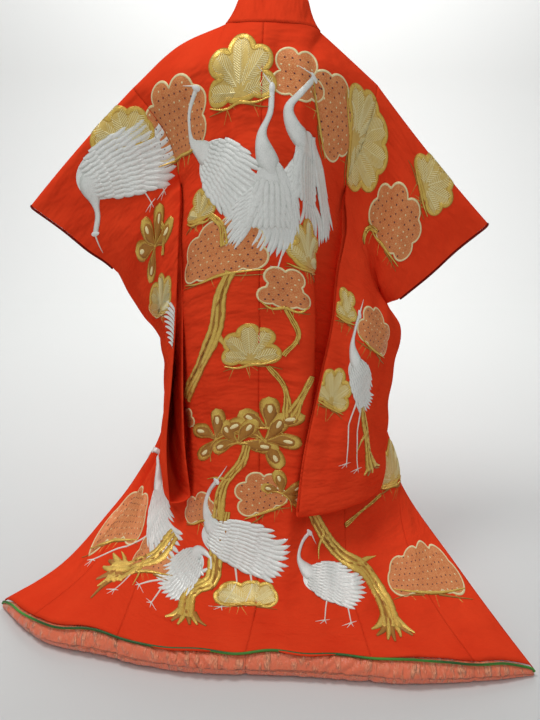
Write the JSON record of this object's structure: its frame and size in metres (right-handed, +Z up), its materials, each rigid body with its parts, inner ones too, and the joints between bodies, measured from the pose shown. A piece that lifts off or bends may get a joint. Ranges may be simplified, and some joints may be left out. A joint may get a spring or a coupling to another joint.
{
  "type": "uchikake wedding kimono",
  "caption": "Long red padded-hem robe with hanging bag sleeves, held open at the shoulders, its train spread on the floor and its back worked with cranes and pines.",
  "frame": {"origin": "between the shoulders at the base of the neck, where a wearer or a hidden stand holds the robe up", "axes": "+Z up; the decorated back faces -Y and the open front +Y; +X is the wearer's right"},
  "size_m": [1.3359, 0.7692, 1.5039],
  "materials": {
    "vermilion_satin": "lustrous satin weave",
    "coral_satin": "crinkled satin over wadding",
    "silver_thread": "silver-white satin stitch",
    "gold_thread": "metallic gold stitch",
    "copper_thread": "copper couching",
    "green_cord": "silk cord piping",
    "maroon_lining": "smooth lining"
  },
  "bodies": {
    "root": {"back_left": "vermilion_satin", "front_left": "vermilion_satin", "okumi_left": "vermilion_satin", "sleeve_back_left": "vermilion_satin", "sleeve_front_left": "vermilion_satin", "collar_left": "vermilion_satin", "back_right": "vermilion_satin", "front_right": "vermilion_satin", "okumi_right": "vermilion_satin", "sleeve_back_right": "vermilion_satin", "sleeve_front_right": "vermilion_satin", "collar_right": "vermilion_satin", "cuff_edge_left": "maroon_lining", "hem_roll_back_left": "coral_satin", "hem_roll_front_left": "coral_satin", "hem_roll_okumi_left": "coral_satin", "cuff_edge_right": "maroon_lining", "hem_roll_back_right": "coral_satin", "hem_roll_front_right": "coral_satin", "hem_roll_okumi_right": "coral_satin", "hem_piping": "green_cord"}
  },
  "joints": []
}
